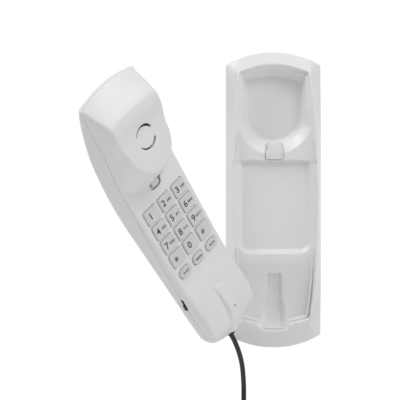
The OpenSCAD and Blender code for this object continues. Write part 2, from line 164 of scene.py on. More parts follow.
# name: colour, roughness and what else differs, each after what the real thing gives the eye
FINISHES = {
    # pad-printed epoxy ink: dark grey, satin, worn thin in places
    "dark_pad_print_ink": ("#3a3b3e", 0.5, {"grain_mm": 0.4, "tint": 0.12}),
    # black PVC jacket, extruded: shiny enough to show one long highlight
    "black_extruded_pvc": ("#1b1b1d", 0.3, {"grain_mm": 0.5, "grain": 0.04, "tint": 0.1}),
    # black moulded rubber: matt and slightly dusty
    "black_moulded_rubber": ("#202022", 0.7, {"grain_mm": 0.4, "grain": 0.15, "tint": 0.1}),
    # black glass-filled nylon: matt, for sockets, switches and chips
    "black_moulded_nylon": ("#242427", 0.5, {"grain_mm": 0.3, "grain": 0.1, "tint": 0.08}),
    # zinc-plated steel screws: bright, with fine drawn scratches
    "zinc_plated_steel": ("#b9bcc0", 0.32, {"metallic": 1.0, "grain_mm": 0.15, "grain": 0.1}),
    # gold-plated phosphor bronze contact wire: bright and yellow
    "gold_plated_contacts": ("#d9b25a", 0.22, {"metallic": 1.0, "grain_mm": 0.2, "grain": 0.03}),
    # pressed aluminium capsule cans: soft satin
    "pressed_aluminium_can": ("#c6c8cb", 0.36, {"metallic": 1.0, "grain_mm": 0.2, "grain": 0.08}),
    # bare brass ringer disc: warm and half bright
    "bare_brass_disc": ("#c9a24c", 0.3, {"metallic": 1.0, "grain_mm": 0.3, "grain": 0.06}),
    # green solder mask over glass epoxy board: glossy over a faint weave
    "green_solder_mask": ("#2b6a45", 0.35, {"grain_mm": 0.6, "grain": 0.08, "tint": 0.08}),
    # pale silicone keypad mat: matt and soft
    "pale_silicone_mat": ("#d8d9db", 0.6, {"grain_mm": 0.5, "grain": 0.06, "tint": 0.04}),
    # clear polycarbonate modular plug: glassy, with the wires seen through it
    "clear_polycarbonate_plug": ("#eef2f5", 0.12, {"ior": 1.58, "grain_mm": 1.0, "grain": 0.02,
                                                   "tint": 0.01, "transmission": 0.8}),
}


def made_of(name):
    """The material of a name in FINISHES"""
    colour, roughness, more = FINISHES[name]
    return material(name, linear(colour), roughness, **more)


# ---- mesh helpers

def linked(name, data):
    """A new object in the scene, at the origin"""
    obj = bpy.data.objects.new(name, data)
    bpy.context.scene.collection.objects.link(obj)
    return obj


def bare(name, vertices, faces=()):
    """A mesh object as it comes, without finish, body or slot"""
    mesh = bpy.data.meshes.new(name)
    mesh.from_pydata([tuple(v) for v in vertices], [], [tuple(int(i) for i in f) for f in faces])
    return linked(name, mesh)


def piece(name, solid, finish, body, replaced=(), sharp_angle=32):
    """Makes one finished mesh object from vertices and faces"""
    return finished(bare(name, *solid), finish, body, replaced, sharp_angle)


def finished(obj, finish, body, replaced=(), sharp_angle=32):
    """Turns faces out, keeps only real edges sharp, and gives the object its finish and body"""
    mesh = obj.data
    work = bmesh.new()
    work.from_mesh(mesh)
    bmesh.ops.remove_doubles(work, verts=work.verts, dist=1e-7)
    bmesh.ops.recalc_face_normals(work, faces=work.faces)
    for face in work.faces:
        face.smooth = True
    limit = math.radians(sharp_angle)
    for edge in work.edges:
        edge.smooth = not (len(edge.link_faces) == 2 and edge.calc_face_angle(0) > limit)
    work.to_mesh(mesh)
    work.free()
    mesh.materials.clear()
    mesh.materials.append(finish)
    for polygon in mesh.polygons:
        polygon.material_index = 0
    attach(obj, body)
    if replaced:
        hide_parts(*replaced)
    return obj


def perimeter(grid):
    """The boundary of a grid of points, once round"""
    return np.concatenate([grid[:, 0], grid[-1, 1:], grid[-2::-1, -1], grid[0, -2:0:-1]])


def closed_shell(outer, inner, rings):
    """A closed wall: an outer grid, an inner grid of the same size, and the rings that join their rims"""
    across, along = outer.shape[:2]
    grids = [outer.reshape(-1, 3), inner.reshape(-1, 3)]
    index = np.arange(across * along).reshape(across, along)
    rim = perimeter(index[..., None])[:, 0]
    faces = []
    for side in range(2):
        at = index + side * across * along
        quads = np.stack([at[:-1, :-1], at[1:, :-1], at[1:, 1:], at[:-1, 1:]], -1).reshape(-1, 4)
        faces.append(quads[:, ::-1] if side else quads)
    count = len(rim)
    loops = [rim] + [np.arange(count) + 2 * across * along + k * count for k in range(len(rings))]
    loops.append(rim + across * along)
    for a, b in zip(loops, loops[1:]):
        faces.append(np.stack([a, b, np.roll(b, -1), np.roll(a, -1)], -1))
    return np.concatenate(grids + list(rings)), np.concatenate(faces)


def lofted(loops):
    """Stacked outlines of equal length joined into a closed solid"""
    count = len(loops[0])
    faces = [list(range(count))[::-1]]
    for k in range(len(loops) - 1):
        a, b = k * count, (k + 1) * count
        faces += [[a + i, a + (i + 1) % count, b + (i + 1) % count, b + i] for i in range(count)]
    faces.append([(len(loops) - 1) * count + i for i in range(count)])
    return [v for loop in loops for v in loop], faces


def placed(points, matrix):
    """Millimetre points of a local frame, in the row frame in metres"""
    points = np.asarray(points, float) * MM
    turn = np.array(matrix.to_3x3())
    return points @ turn.T + np.array(matrix.translation)


def rounded_plan(width, height, corner, steps=6):
    """Outline of a rounded rectangle in x and z"""
    points = []
    for cx, cz, start in ((1, 1, 0), (-1, 1, 90), (-1, -1, 180), (1, -1, 270)):
        for k in range(steps + 1):
            a = math.radians(start + 90 * k / steps)
            points.append((cx * (width / 2 - corner) + corner * math.cos(a),
                           cz * (height / 2 - corner) + corner * math.sin(a)))
    return points


def smoothstep(t):
    """Eases from 0 to 1 as t goes from 0 to 1"""
    t = np.clip(t, 0, 1)
    return t * t * (3 - 2 * t)


def soft_max(a, b, k):
    """The larger of two, with a blend about k wide where they cross"""
    h = np.clip(0.5 + 0.5 * (a - b) / k, 0, 1)
    return b + (a - b) * h + k * h * (1 - h)


def eased_line(points, z, ease=4.0):
    """A line through (z, y) points with its corners eased over a few millimetres"""
    zs, ys = np.array(points, float).T
    order = np.argsort(zs)
    return sum(np.interp(z + s, zs[order], ys[order]) for s in np.linspace(-ease, ease, 9)) / 9


def spread(count, crowd=0.5):
    """Values from -1 to 1 that crowd towards the ends"""
    t = np.linspace(-1, 1, count)
    return (1 - crowd) * t + crowd * np.sin(t * math.pi / 2)


def cut(obj, cutters):
    """Cuts every hole of a shell in one pass"""
    mesh = bpy.data.meshes.new("cutters")
    work = bmesh.new()
    for vertices, faces in cutters:
        made = [work.verts.new(v) for v in vertices]
        for face in faces:
            work.faces.new([made[int(i)] for i in face])
    bmesh.ops.recalc_face_normals(work, faces=work.faces)
    work.to_mesh(mesh)
    work.free()
    tool = linked("cutters", mesh)
    boolean = obj.modifiers.new("cut", "BOOLEAN")
    boolean.operation = "DIFFERENCE"
    boolean.solver = "MANIFOLD"
    boolean.object = tool
    apply_modifiers(obj)
    bpy.data.objects.remove(tool)


def apply_modifiers(obj):
    """Puts the evaluated mesh in the object's place and removes its modifiers"""
    bpy.context.view_layer.update()
    graph = bpy.context.evaluated_depsgraph_get()
    done = bpy.data.meshes.new_from_object(obj.evaluated_get(graph))
    obj.modifiers.clear()
    obj.data = done


def stacked(levels, matrix=UNMOVED):
    """Plans in x and z, each at its own y, joined into a solid and placed by a matrix"""
    return lofted([list(placed([(x, y, z) for x, z in plan], matrix)) for plan, y in levels])


def prism(plan, y0, y1, matrix=UNMOVED):
    """A plan in x and z as a straight solid from y0 to y1, placed by a matrix"""
    return stacked([(plan, y0), (plan, y1)], matrix)


def side_loft(levels, y, z, matrix):
    """Plans in y and z about a point, each at its own x, joined into a solid and placed by a matrix"""
    return lofted([list(placed([(x, y + a, z + b) for a, b in plan], matrix)) for plan, x in levels])


# ---- handset form

# levels of the handset's front, back, parting line and ridge, as (z, y) in its own frame
HALF_W = 24.6
FRONT = [(-162, 18), (-157, 15), (-152, 10.6), (-147, 8.0), (-140, 6.8), (-132, 7.4), (-122, 9.0),
         (-112, 10.8), (-103, 12.3), (-40, 15.3), (-26, 14.8), (0, 11), (40, 11)]
BACK = [(-162, 17.0), (-150, 21.8), (-130, 25.2), (-114, 27), (-78, 31.9), (-52, 35.6), (-38, 36.2),
        (-18, 35.2), (0, 32), (14, 27), (26, 22), (34, 17.2), (40, 13.8)]
PARTING = [(-162, 12.5), (-150, 13.2), (-137, 14.6), (-113, 17.4), (-58, 16.9), (-25, 17.3), (3, 13.4),
           (34, 12.2), (40, 12.2)]
RIDGE = [(-158, 10), (-150, 5.4), (-143, 2.6), (-136, 1.5), (-130, 2.4), (-124, 4.3), (-120, 5.9),
         (-117, 7.2)]
POD_Z, POD_R = -3.0, 21.4
TOP_Z = 34.6
BEVEL_Z = 18.4
CORNER_R = 5.0
WALL, RIM_WALL = 2.2, 2.0
DRAFT = 0.008
KEY_GAP = 0.32
SCREW_WELLS = [(0, 26, 19.2), (-16, -130, 21.6), (16, -130, 21.6)]
SWITCH_Y, SWITCH_Z = 16.8, -116.5
SLIT_R, SLIT_WIDTH = 7.4, 1.6
NOTCH_Z = -32.9


def top_end(x):
    """Upper edge of the handset: a shallow bow"""
    return TOP_Z + 3.9 * (1 - (x / HALF_W) ** 2)


def bottom_end(x):
    """Lower edge of the handset: a shallow bow with rounded corners"""
    corner = np.clip(np.abs(x) - (HALF_W - CORNER_R), 0, CORNER_R)
    lift = CORNER_R - np.sqrt(CORNER_R ** 2 - corner ** 2)
    return -150.6 - 7.0 * (1 - (x / HALF_W) ** 2) + 0.6 * lift


def handset_grid(across, along, inset):
    """Grid of points over the handset: x and z moved in by an inset, and x, z and the ends as they were"""
    u = spread(across)[:, None]
    v = (spread(along, 0.4)[None, :] + 1) / 2
    x_full = HALF_W * u + 0 * v
    low, high = bottom_end(x_full), top_end(x_full)
    x = (HALF_W - inset) * u + 0 * v
    return x, low + inset + v * (high - low - 2 * inset), x_full, low + v * (high - low), low, high


def edge_drop(gap, radius):
    """How far a round edge of a given radius falls at a given distance in from the rim, as 0 to 1"""
    t = 1 - np.clip(gap / radius, 0, 1)
    return 1 - np.sqrt(np.clip(1 - t * t, 0, 1))


def pod_gap(x, z):
    """Distance outside the pod's outline, negative inside; its upper part widens to the full width"""
    below = np.hypot(x, z - POD_Z) - POD_R
    above = np.abs(x) - POD_R
    return np.where(z < POD_Z, below, above) - 4.6 * smoothstep((z + 5) / 20)


def front_height(x, z):
    """Level of the handset's front, with the pod, its dish, the sloping top and the ridge"""
    face = eased_line(FRONT, z, 3.0)
    swell = smoothstep((-104 - z) / 24) * smoothstep((z + 158) / 12)
    face = face - 2.6 * swell * (1 - (x / HALF_W) ** 2)
    bevel = BEVEL_Z + 1.6 * (1 - (x / POD_R) ** 2)
    rise = z - bevel
    fall = 14.2 / (top_end(x) - bevel)
    slope = fall * np.where(rise > 8, rise, 1.3 * np.log1p(np.exp(np.clip(rise, -30, 8) / 1.3)))
    hollow = -2.6 * smoothstep((z - 2) / 16) + 0.6 * (1 - smoothstep((np.hypot(x, z) - 3) / 11))
    pod = hollow + slope
    gap = pod_gap(x, z)
    wall = 6.5 + 6.0 * smoothstep((3 - z) / 27)
    step = np.clip((gap + 1.2) / wall, 0, 1)
    raised = pod + (np.maximum(face, pod) - pod) * (0.45 * step + 0.55 * smoothstep(step))
    # the ridge grows out of the face above the microphone and runs off the bottom
    half = 4.6 + 1.4 * smoothstep((-120 - z) / 25)
    inside = smoothstep((half + 0.6 - np.abs(x)) / 1.3) * smoothstep((-118.6 - z) / 1.6)
    ridge = np.minimum(raised, eased_line(RIDGE, z, 2.0) + 0.02 * x * x)
    return raised + (ridge - raised) * inside


def parting(z):
    """Level of the parting line between the front and back shells"""
    return eased_line(PARTING, z, 3.0)


def rim_gap(x, z, low, high):
    """Distance in from the sides and the lower end, from the sides, and from the upper end"""
    side = HALF_W - np.abs(x)
    return np.minimum(side, z - low), side, high - z


def front_surface(across, along, inset, depth):
    """Points of the front shell's outside, or of its inside at an inset and a depth"""
    x, z, x_full, full_z, low, high = handset_grid(across, along, inset)
    y = front_height(x_full, full_z)
    part = parting(full_z)
    gap, _, top = rim_gap(x_full, full_z, low, high)
    room = np.maximum(part - 0.3 - y, 0.2)
    radius = 2.6 - 0.6 * smoothstep((full_z + 10) / 25)
    y = y + np.minimum(radius, 0.9 * room) * edge_drop(gap, radius)
    y = y + np.minimum(0.5, 0.5 * room) * edge_drop(top, 0.7)
    y = np.minimum(y + depth, part - 0.15)
    return np.stack([x * (1 - DRAFT * (part - y)), y, z], -1)


def back_surface(across, along, inset, depth):
    """Points of the back shell's outside, or of its inside at an inset and a depth"""
    x, z, x_full, full_z, low, high = handset_grid(across, along, inset)
    y = eased_line(BACK, full_z, 6.0) - 0.9 * (x_full / HALF_W) ** 2
    part = parting(full_z)
    gap, side, top = rim_gap(x_full, full_z, low, high)
    room = np.maximum(y - part - 0.3, 0.2)
    y = y - np.minimum(3.4, 0.85 * room) * edge_drop(side, 3.4)
    room = np.maximum(y - part - 0.3, 0.2)
    y = y - np.minimum(4.0, 0.8 * room) * edge_drop(np.minimum(full_z - low, top + 2), 4.0)
    return np.stack([x, np.maximum(y - depth, part + 0.15), z], -1)


def parting_ring(points, offset, inward):
    """A ring at the parting line, moved in from the outline, with the front shell's draft taken out"""
    ring = points.copy()
    part = parting(points[:, 2])
    ring[:, 0] /= 1 - DRAFT * np.maximum(part - points[:, 1], 0)
    ring[:, 1] = part + offset
    centre = np.array([0, 0, -57.0])
    out = ring - centre
    ring[:, 0] -= inward * np.sign(out[:, 0]) * (np.abs(out[:, 0]) > 20)
    ring[:, 2] -= inward * np.sign(out[:, 2]) * (np.abs(out[:, 2]) > 80)
    return ring


def handset_half(name, surface, across, along, side):
    """A handset shell as a bare mesh with a groove at the parting line; side is -1 in front, 1 behind"""
    outer, inner = surface(across, along, 0.0, 0.0), surface(across, along, RIM_WALL, WALL)
    rim, inner_rim = perimeter(outer), perimeter(inner)
    rings = [parting_ring(rim, side * 0.3, 0.0), parting_ring(rim, side * 0.24, 0.5),
             parting_ring(rim, side * 0.03, 0.55), parting_ring(inner_rim, side * 0.03, 0.0)]
    vertices, faces = closed_shell(outer, inner, rings)
    return bare(name, placed(vertices, HANDSET), faces)


def key_cell(i):
    """Row and matrix of one key's place on the keypad"""
    row, column = divmod(i, COLUMNS)
    at = Matrix.Translation(Vector(((column - 1) * PITCH_X, 0, (2 - row) * PITCH_Z)) * MM)
    return row, HANDSET @ KEYPAD @ at


def key_plan(row, grow, oval_steps):
    """Outline of a key grown by so much: a rounded rectangle, or an oval in the last row"""
    if row < DIGIT_ROWS:
        return rounded_plan(11.6 + 2 * grow, 9.6 + 2 * grow, max(0.25, settings().key_corner / MM + grow))
    return rounded_plan(10.8 + 2 * grow, 6.4 + 2 * grow, max(0.2, 3.19 + grow), oval_steps)


def slit_plan(start, stop):
    """A curved slit that thins towards its start"""
    angles = np.radians(np.linspace(start, stop, 25))
    half = SLIT_WIDTH / 2 * np.clip(np.linspace(0.35, 1.6, 25), 0, 1)
    outer, inner = [[((SLIT_R + side * h) * math.cos(a), (SLIT_R + side * h) * math.sin(a))
                     for a, h in zip(angles, half)] for side in (1, -1)]
    return outer + inner[::-1]


def circle_plan(x, z, radius, count=32):
    """Outline of a circle in x and z"""
    return [(x + radius * math.cos(2 * math.pi * k / count), z + radius * math.sin(2 * math.pi * k / count))
            for k in range(count)]


def notch_plan():
    """The latch notch under the pod: straight sides and a rounded lower end"""
    points = [(5.4, -27.0), (-5.4, -27.0), (-5.4, -35.2)]
    points += [(-2.6 - 2.8 * math.cos(a), -35.2 - 3.6 * math.sin(a)) for a in np.radians([30, 60, 90])]
    points += [(2.6 + 2.8 * math.cos(a), -35.2 - 3.6 * math.sin(a)) for a in np.radians([90, 60, 30, 0])]
    return points


def slot_cutter():
    """Cutter for the ringer switch's slot in the left side"""
    plan = rounded_plan(2.3, 9.0, 1.1)
    return side_loft([(plan, -26.5), (plan, -18)], SWITCH_Y, SWITCH_Z, HANDSET)


def cord_hole():
    """Cutter for the cord's way out of the lower end"""
    ring = circle_plan(-3, 17, 2.95)
    return lofted([list(placed([(x, y, z) for x, y in ring], HANDSET)) for z in (-166, -148)])


class TELEPHONE_OT_front_shell(bpy.types.Operator):
    """Moulded front of the handset, with the pod, key holes, slits and notch"""
    bl_idname = "telephone.front_shell"
    bl_label = "Handset front shell"

    def execute(self, context):
        obj = handset_half("handset_front", front_surface, 111, 331, -1)
        cells = [key_cell(i) for i in range(len(KEYS))]
        holes = [prism(key_plan(row, KEY_GAP, 9), -6, 7, at) for row, at in cells]
        holes += [prism(slit_plan(150, 23), -3, 6, HANDSET), prism(slit_plan(205, 330), -3, 6, HANDSET)]
        holes += [prism(circle_plan(0, -136, 0.75, 16), -2, 12, HANDSET)]
        holes += [prism(notch_plan(), -2, 20.5, HANDSET), slot_cutter(), cord_hole()]
        cut(obj, holes)
        finished(obj, shell_abs(), "handset", ["handset_front_shell"])
        return {"FINISHED"}


class TELEPHONE_OT_notch_well(bpy.types.Operator):
    """Walls and floor of the latch notch, and the gauze behind the earpiece slits"""
    bl_idname = "telephone.notch_well"
    bl_label = "Latch notch well and gauze"

    def execute(self, context):
        outline = notch_plan()
        grown = [(x * 1.12, NOTCH_Z + (z - NOTCH_Z) * 1.12) for x, z in outline]
        hole = [(x, z - 34) for x, z in rounded_plan(6.6, 5.8, 0.8)]
        vertices, faces = stacked([(outline, 15.6), (outline, 17.0), (grown, 17.0), (grown, 15.6)], HANDSET)
        count = len(outline)
        last = 3 * count
        faces = faces[1:-1] + [[i, (i + 1) % count, last + (i + 1) % count, last + i] for i in range(count)]
        piece("latch_notch_walls", (vertices, faces), shell_abs(), "handset")
        floor = prism(grown, 17.02, 18.6, HANDSET)
        obj = piece("latch_notch_floor", floor, shell_abs(), "handset")
        cut(obj, [prism(hole, 15, 22, HANDSET)])
        obj.data.materials.clear()
        obj.data.materials.append(shell_abs())
        gauze = prism(circle_plan(0, 0, 9.6), 2.7, 2.9, HANDSET)
        piece("receiver_gauze", gauze, made_of("black_moulded_nylon"), "handset")
        return {"FINISHED"}


class TELEPHONE_OT_switch_window(bpy.types.Operator):
    """Black track that the ringer switch's knob slides in"""
    bl_idname = "telephone.switch_window"
    bl_label = "Ringer switch track"

    def execute(self, context):
        slim, wide = rounded_plan(2.2, 8.9, 1.05), rounded_plan(2.7, 9.4, 1.05)
        levels = [(slim, -24.2), (slim, -22.9), (wide, -22.9), (wide, -21.7)]
        track = side_loft(levels, SWITCH_Y, SWITCH_Z, HANDSET)
        piece("ringer_switch_track", track, made_of("black_moulded_nylon"), "handset")
        return {"FINISHED"}


class TELEPHONE_OT_back_shell(bpy.types.Operator):
    """Moulded back of the handset"""
    bl_idname = "telephone.back_shell"
    bl_label = "Handset back shell"

    def execute(self, context):
        obj = handset_half("handset_back", back_surface, 91, 281, 1)
        wells = [prism(circle_plan(x, z, 2.95), y, 45, HANDSET) for x, z, y in SCREW_WELLS]
        cut(obj, wells + [slot_cutter(), cord_hole()])
        finished(obj, shell_abs(), "handset", ["handset_back_shell"])
        return {"FINISHED"}


# ---- wall base form

BASE_HALF = 33.0
BASE_WALL = 2.3
# levels of the base's crest, outer edge and inner panel, as (z, y)
CREST = [(-104, -10), (-100, -13), (-92, -18), (-72, -24), (-40, -29), (0, -30), (40, -29), (70, -25),
         (90, -20), (99, -14), (104, -9)]
EDGE = [(-104, -8), (-94, -10), (-60, -13), (60, -13), (94, -10), (104, -7)]
PANEL = [(-92, -14.2), (-80, -13.8), (-72, -14.6), (-58, -19), (-42, -24), (60, -24)]
# half-widths of the trough at the rails' upper and lower edges, as (z, x)
RAIL_RIM = [(-92, 24.2), (-82, 24.8), (-60, 27.4), (-33, 28.8), (0, 29.2), (39, 28.4), (60, 27.0),
            (80, 25.7), (92, 25.0), (104, 24.8)]
RAIL_FOOT = [(-92, 23.0), (-82, 23.2), (-60, 25.0), (-33, 25.9), (0, 25.7), (39, 25.1), (60, 24.6),
             (92, 24.5), (104, 24.5)]
# floor of the channel for the handset's ridge, as (z, y)
CHANNEL = [(-93, -18), (-89, -13.5), (-84, -11.0), (-74, -10.6), (-60, -14.5), (-51, -17.6)]
RECESS_Z, RECESS_R = 64.0, 24.5
LEAD_Z, LEAD_R = 57, 25.8
FLOOR_Y = -8.0
POCKET_HALF, POCKET_LOW, POCKET_HIGH = 22.2, -33.8, 26.0


def base_ends(x):
    """Lower and upper edge of the base: bows with slightly rounded corners"""
    bow = 9 * (1 - (x / BASE_HALF) ** 2)
    corner = np.clip(np.abs(x) - (BASE_HALF - 0.8), 0, 0.8)
    soft = 0.8 - np.sqrt(0.64 - corner ** 2)
    return -94 - bow + soft, 94 + bow - soft


def recess_gap(x, z):
    """Distance outside the round-bottomed head recess, negative inside"""
    return np.where(z < RECESS_Z, np.hypot(1.02 * x, z - RECESS_Z), 1.02 * np.abs(x)) - RECESS_R


def base_height(x, z):
    """Front level of the wall base: arched crest, side rails, cradle, head recess, pocket and channel"""
    ax = np.abs(x)
    crest, edge = eased_line(CREST, z, 4), eased_line(EDGE, z, 6)
    rim, foot = eased_line(RAIL_RIM, z, 8), eased_line(RAIL_FOOT, z, 8)
    past = np.clip((ax - rim) / (BASE_HALF - rim), 0, 1)
    past = past + ((ax / BASE_HALF) ** 3 - past) * smoothstep((np.abs(z) - 86) / 10)
    outside = crest + (edge - crest) * past ** 0.9
    panel = eased_line(PANEL, z, 3)
    climb = np.minimum(crest - panel, -2.5) / np.maximum(rim - foot, 0.5)
    sill = -79.8 - 7.6 * (1 - ax / 24.5)
    trough = panel + np.clip(ax - foot, 0, 9) * climb
    trough = trough - 1.2 * np.clip(z - 60, 0, 40) - 3.4 * np.clip(sill - z, 0, 9)
    front = soft_max(outside, trough, 0.7)
    # head recess: drafted side walls, a sloping top wall and a bright lead-in round its lower half
    gap = recess_gap(x, z)
    wall = 3.0 + 4.0 * smoothstep((z - 44) / 22)
    high = smoothstep((z - 50) / 14)
    level = panel + (crest - panel) * high
    lip = level + 6.2 - 3.4 * high - 2.8 * smoothstep((z - 66) / 26)
    side = FLOOR_Y + (lip - FLOOR_Y) * np.clip((gap + wall) / wall, 0, 1) ** 1.8
    reach = ax - foot - (rim - foot) * high
    reach = np.where(z < LEAD_Z, np.maximum(np.hypot(x, z - LEAD_Z) - LEAD_R, reach), reach)
    lead = lip + (level - lip) * np.clip(gap / np.maximum(gap - reach, 0.05), 0, 1)
    lead = lead - 3 * np.maximum(reach, 0)
    inside = np.where(gap < 0, side, lead)
    top_gap = z - (95.6 - 5.6 * (x / 25) ** 2)
    top = FLOOR_Y + (crest - 0.5 - FLOOR_Y) * smoothstep((top_gap + 9.5) / 9.5) ** 0.8
    inside = np.minimum(inside, top) - 4 * np.clip(top_gap, 0, 20)
    front = soft_max(front, inside, 0.55)
    # pocket over the keys, with a soft rim
    corner = np.where(z < 0, 5.0, 3.0)
    qx = ax - (POCKET_HALF - corner)
    qz = np.where(z < 0, POCKET_LOW - z, 2.4 * (z - POCKET_HIGH)) + corner
    out = np.hypot(np.maximum(qx, 0), np.maximum(qz, 0)) + np.minimum(np.maximum(qx, qz), 0) - corner
    pocket = (panel + 3.0) - np.clip(out, 0, 20)
    front = soft_max(front, pocket, 0.5)
    # channel for the ridge of the handset
    width = 4.1 + 1.3 * smoothstep((-62 - z) / 20)
    flare = 3.5 - 2.3 * smoothstep((-58 - z) / 20)
    bed = eased_line(CHANNEL, z, 2)
    ends = np.clip(z + 51, 0, 30) * 6 + np.clip(-89.6 - z, 0, 30) * 3
    channel = bed - np.clip(ax - width, 0, 30) * flare - ends
    return soft_max(front, channel, 0.4)


def base_surface(across, along, inset, depth):
    """Points of the base shell's outside, or of its inside at an inset and a depth"""
    u = spread(across, 0.45)[:, None]
    v = (spread(along, 0.35)[None, :] + 1) / 2
    x_full = BASE_HALF * u + 0 * v
    low, high = base_ends(x_full)
    z_full = low + v * (high - low)
    y = base_height(x_full, z_full)
    gap = np.minimum(BASE_HALF - np.abs(x_full), np.minimum(z_full - low, high - z_full))
    y = y + 1.3 * edge_drop(gap, 1.3)
    x = (BASE_HALF - inset) * u + 0 * v
    z = low + inset + v * (high - low - 2 * inset)
    return np.stack([x, np.minimum(y + depth, -2.6), z], -1)


class TELEPHONE_OT_base_shell(bpy.types.Operator):
    """Moulded wall base with its rails, cradle, recess, pocket and channel"""
    bl_idname = "telephone.base_shell"
    bl_label = "Wall base shell"

    def execute(self, context):
        across, along = 131, 331
        outer = base_surface(across, along, 0.0, 0.0)
        inner = base_surface(across, along, BASE_WALL, BASE_WALL)
        rim, inner_rim = perimeter(outer), perimeter(inner)
        back, back_in = rim.copy(), inner_rim.copy()
        back[:, 1] = -0.3
        edge = rim * [0.994, 1, 0.998]
        edge[:, 1] = 0.0
        back_in[:, 1] = 0.0
        vertices, faces = closed_shell(outer, inner, [back, edge, back_in])
        obj = bare("wall_base_shell", vertices * MM, faces)
        seat = [(x, z + 33.4) for x, z in rounded_plan(12.6, 12.2, 1.2)]
        jack = [(-5.7, -104.5), (5.7, -104.5), (5.7, -88), (-5.7, -88)]
        cut(obj, [prism(seat, -34, -19.5), prism(jack, -10.7, -2.2)])
        finished(obj, shell_abs(), "wall_base", ["base_shell"])
        piece("hanger_tab_seat", prism(seat, -19.6, -18.4), shell_abs(), "wall_base")
        return {"FINISHED"}


class TELEPHONE_OT_hanger(bpy.types.Operator):
    """Pull-out hanger tab at the head of the pocket"""
    bl_idname = "telephone.hanger"
    bl_label = "Hanger tab"

    def execute(self, context):
        plan = [(-6.0, 27.6), (6.0, 27.6), (6.0, 33.6), (5.6, 34.4), (4.7, 35.0), (4.5, 37.6), (3.8, 38.4),
                (-3.8, 38.4), (-4.5, 37.6), (-4.7, 35.0), (-5.6, 34.4), (-6.0, 33.6)]
        points = np.array(plan)
        out = points - [0, 33.0]
        inward = np.sign(out) * np.minimum(1, np.abs(out) / 3)
        levels = [(points - shrink * inward, y) for y, shrink in
                  ((-24.8, 0.7), (-24.7, 0.25), (-24.3, 0.0), (-22.4, 0.0), (-17.2, 0.35))]
        piece("hanger_tab_face", stacked(levels), shell_abs(), "hanger", ["hanger_tab"])
        for name, middle in (("hanger_edge_left", -5.35), ("hanger_edge_right", 5.35)):
            wide, slim = [[(middle + x, z + 30.4) for x, z in plan] for plan in
                          (rounded_plan(1.1, 5.4, 0.5), rounded_plan(0.7, 5.0, 0.3))]
            edge = stacked([(wide, -24.4), (wide, -25.5), (slim, -25.7)])
            piece(name, edge, shell_abs(), "hanger")
        return {"FINISHED"}


# ---- keys

# (level, growth) of a key cap from its hidden skirt to its crowned top
CAP_PROFILE = [(3.4, 0.68), (2.65, 0.68), (2.6, 0.0), (-0.55, 0.0), (-0.9, -0.12), (-1.1, -0.36),
               (-1.17, -0.75), (-1.13, -1.3), (-1.08, -2.2), (-1.05, -2.9)]
PRINT_SIZE = {"*": 7.5, "#": 4.6}


def text_mesh(words, size, matrix, name):
    """Flat generic lettering as a thin mesh, placed by a matrix"""
    curve = bpy.data.curves.new(name, "FONT")
    curve.body = words
    curve.size = size
    curve.extrude = 0.03
    curve.offset = size * 0.012
    curve.align_x = "CENTER"
    curve.align_y = "CENTER"
    curve.resolution_u = 4
    obj = linked(name, curve)
    bpy.context.view_layer.update()
    mesh = bpy.data.meshes.new_from_object(obj)
    bpy.data.objects.remove(obj)
    mesh.transform(Matrix.Rotation(math.radians(90), 4, "X"))
    mesh.transform(Matrix.Scale(MM, 4))
    mesh.transform(matrix)
    return mesh


class TELEPHONE_OT_keys(bpy.types.Operator):
    """Fifteen key caps with their printed legends"""
    bl_idname = "telephone.keys"
    bl_label = "Keys"

    def execute(self, context):
        for i, (name, large, small) in enumerate(KEYS):
            row, at = key_cell(i)
            cap = stacked([(key_plan(row, grow, 6), y) for y, grow in CAP_PROFILE], at)
            body = "key_" + name + "_cap"
            piece("cap_" + name, cap, key_abs(), body, ["key_" + name], 40)
            self.legend("legend_" + name, body, large, small, at)
        return {"FINISHED"}

    @staticmethod
    def legend(name, body, large, small, at):
        """Prints a word in the middle of a key, or a digit to the left with its letters to the right"""
        prints = [(large, 2.0, 0, 0)]
        if len(large) == 1:
            x, z = -2.6 if small else -1.6, -1.5 if large == "*" else 0
            prints = [(large, PRINT_SIZE.get(large, 6.2), x, z)]
        if small:
            prints.append((small, 2.3, 2.6, -0.2))
        work = bmesh.new()
        for words, size, x, z in prints:
            spot = at @ Matrix.Translation(Vector((x, -1.12, z)) * MM)
            work.from_mesh(text_mesh(words, size, spot, "print"))
        joined = bpy.data.meshes.new(name)
        work.to_mesh(joined)
        work.free()
        joined.materials.append(made_of("dark_pad_print_ink"))
        obj = linked(name, joined)
        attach(obj, body)


# ---- cord

LEAD = [(-31, -38, -89), (-27.5, -33.5, -96), (-24.5, -29, -104), (-22.5, -25.5, -112),
        (-21.5, -22.5, -120), (-21, -21, -129), (-21, -21, -138), (-21, -21, -146)]
TAIL = [(-5, -21, -166), (-5, -21, -158), (-3.5, -21, -151), (1, -21, -147.5), (6.5, -21, -148),
        (10, -21, -152), (11, -21, -159), (11, -21, -168), (11, -21, -178), (11, -21, -188)]
CURL_X, CURL_Y, CURL_TOP, BEND_Z, BEND_R, CURL_END = -21, -21, -146, -236, 8, -166
CURL_OUTER, CURL_EASE, CURL_STEPS = 12.8, 5.0, 16


def eased_route(points, steps=5):
    """A smooth line through given points"""
    p = np.array(points, float)
    p = np.vstack([2 * p[0] - p[1], p, 2 * p[-1] - p[-2]])
    made = []
    for k in range(1, len(p) - 2):
        for t in np.arange(steps) / steps:
            a, b, c, d = p[k - 1:k + 3]
            made.append(0.5 * (2 * b + (c - a) * t + (2 * a - 5 * b + 4 * c - d) * t ** 2
                               + (3 * b - a - 3 * c + d) * t ** 3))
    made.append(p[-2])
    return np.array(made)


